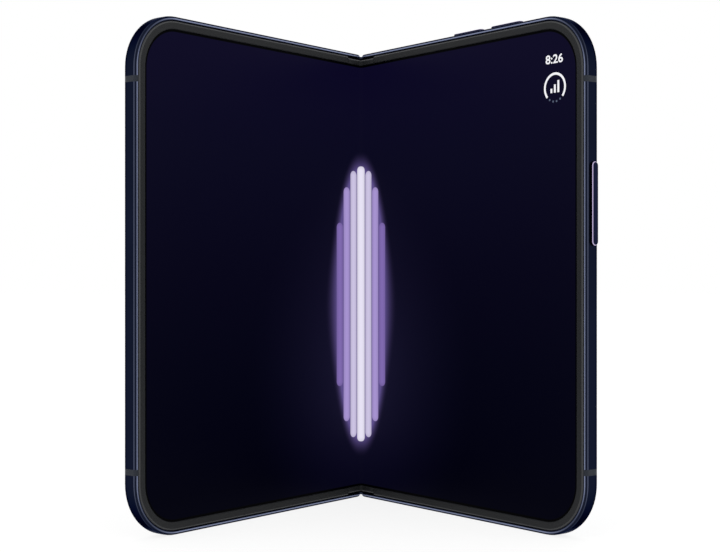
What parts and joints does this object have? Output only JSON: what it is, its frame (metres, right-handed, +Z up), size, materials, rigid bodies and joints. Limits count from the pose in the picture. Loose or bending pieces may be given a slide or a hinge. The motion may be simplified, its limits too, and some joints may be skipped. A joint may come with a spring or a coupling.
{
  "type": "foldable smartphone",
  "caption": "Book-style folding smartphone, standing partly folded, with a geared hinge, inner folding screen, cover screen, side keys, camera island and charging port.",
  "frame": {"origin": "on the surface the phone stands on, under the middle of the box round the phone as it stands partly folded", "axes": "+Z up along the crease; the screen faces -Y, the hinge spine is at +Y; +X is the half with the keys and the port"},
  "size_m": [0.1073, 0.0682, 0.1212],
  "materials": {
    "antenna_plastic": "grey antenna break",
    "back_glass": "dark blue tempered glass, opaque coating behind it",
    "battery_wrap": "wrapped lithium pouch",
    "board_green": "glass fibre circuit board",
    "can_metal": "tinned steel shields",
    "coil_copper": "copper winding",
    "cover_glass": "black cover glass with an opaque print",
    "cover_panel": "outer display panel",
    "flash_plastic": "pale lens over the light",
    "flex_film": "amber polyimide film",
    "frame_metal": "dark blue anodised aluminium",
    "gear_steel": "sintered steel gears",
    "hinge_steel": "sintered steel",
    "island_metal": "dark blue anodised aluminium",
    "key_metal": "dark blue anodised aluminium",
    "lens_glass": "coated lens cover",
    "magnet_nickel": "nickel-plated magnets",
    "module_black": "black camera housings",
    "motor_steel": "steel case",
    "port_steel": "steel port shell",
    "ring_metal": "turned metal rings",
    "screen_film": "folding screen, glossy film over dark layers",
    "screw_steel": "plain steel screws",
    "soft_border": "dark grey soft frame round the screen",
    "speaker_black": "black speaker box",
    "spine_paint": "dark blue coated hinge cover, satin",
    "spring_steel": "spring steel",
    "support_metal": "thin steel screen backing"
  },
  "bodies": {
    "spine": {"spine_cover": "spine_paint", "hinge_base": "hinge_steel", "spine_screws": "screw_steel", "friction_clips": "spring_steel", "hinge_flex_cable": "flex_film", "display_fold_strip": "screen_film", "border_cap_top": "soft_border", "border_cap_bottom": "soft_border"},
    "right_half": {"right_frame": "frame_metal", "right_antenna_bands": "antenna_plastic", "right_border": "soft_border", "display_right": "screen_film", "right_support_plate": "support_metal", "right_rail_arms": "hinge_steel", "right_sync_arms": "gear_steel", "right_arm_screws": "screw_steel", "back_glass": "back_glass", "camera_island": "island_metal", "camera_lens_rings": "ring_metal", "camera_lens_glass": "lens_glass", "camera_modules": "module_black", "flash_lens": "flash_plastic", "right_battery": "battery_wrap", "main_board": "board_green", "shield_cans": "can_metal", "charging_coil": "coil_copper", "charging_port": "port_steel", "port_screws": "screw_steel", "right_speaker": "speaker_black", "key_switches": "can_metal", "right_magnets": "magnet_nickel"},
    "left_half": {"left_frame": "frame_metal", "left_antenna_bands": "antenna_plastic", "left_border": "soft_border", "display_left": "screen_film", "left_support_plate": "support_metal", "left_rail_arms": "hinge_steel", "left_sync_arms": "gear_steel", "left_arm_screws": "screw_steel", "cover_glass": "cover_glass", "cover_display": "cover_panel", "cover_camera": "module_black", "left_battery": "battery_wrap", "left_board": "board_green", "left_speaker": "speaker_black", "vibration_motor": "motor_steel", "left_magnets": "magnet_nickel"},
    "pinion_right": {"gear_pinion_right": "gear_steel"},
    "pinion_left": {"gear_pinion_left": "gear_steel"},
    "idler_right": {"gear_idler_right": "gear_steel"},
    "idler_left": {"gear_idler_left": "gear_steel"},
    "volume_up": {"volume_up_key": "key_metal"},
    "volume_down": {"volume_down_key": "key_metal"},
    "power": {"power_key": "key_metal"}
  },
  "joints": [
    {"name": "right_fold", "type": "hinge", "parent": "spine", "child": "right_half", "pos_m": [0.0003, 0.03048, 0.0603], "axis": [0, 0, -1], "range_deg": [-52, 38], "deforming": ["display_fold_strip", "border_cap_top", "border_cap_bottom", "hinge_flex_cable"]},
    {"name": "left_fold", "type": "hinge", "parent": "spine", "child": "left_half", "pos_m": [-0.0003, 0.03048, 0.0603], "axis": [0, 0, 1], "range_deg": [-52, 38]},
    {"name": "pinion_right_turn", "type": "hinge", "parent": "spine", "child": "pinion_right", "pos_m": [0.00142, 0.03202, 0.0603], "axis": [0, 0, -1], "range_deg": [-249.6, 182.4]},
    {"name": "pinion_left_turn", "type": "hinge", "parent": "spine", "child": "pinion_left", "pos_m": [-0.00142, 0.03202, 0.0603], "axis": [0, 0, 1], "range_deg": [-249.6, 182.4]},
    {"name": "idler_right_turn", "type": "hinge", "parent": "spine", "child": "idler_right", "pos_m": [0.0006, 0.03276, 0.0603], "axis": [0, 0, 1], "range_deg": [-208, 152]},
    {"name": "idler_left_turn", "type": "hinge", "parent": "spine", "child": "idler_left", "pos_m": [-0.0006, 0.03276, 0.0603], "axis": [0, 0, -1], "range_deg": [-208, 152]},
    {"name": "volume_up_press", "type": "slide", "parent": "right_half", "child": "volume_up", "axis": [0, 0, -1], "range_m": [0, 0.00025], "stiffness_N_per_m": 400, "springref_m": -0.001},
    {"name": "volume_down_press", "type": "slide", "parent": "right_half", "child": "volume_down", "axis": [0, 0, -1], "range_m": [0, 0.00025], "stiffness_N_per_m": 400, "springref_m": -0.001},
    {"name": "power_press", "type": "slide", "parent": "right_half", "child": "power", "axis": [-0.6157, 0.788, 0], "range_m": [0, 0.00025], "stiffness_N_per_m": 400, "springref_m": -0.001}
  ],
  "couplings": [
    {"joint": "left_fold", "follows": "right_fold", "ratio": 1},
    {"joint": "pinion_right_turn", "follows": "right_fold", "ratio": 4.8},
    {"joint": "pinion_left_turn", "follows": "right_fold", "ratio": 4.8},
    {"joint": "idler_right_turn", "follows": "right_fold", "ratio": 4},
    {"joint": "idler_left_turn", "follows": "right_fold", "ratio": 4}
  ]
}
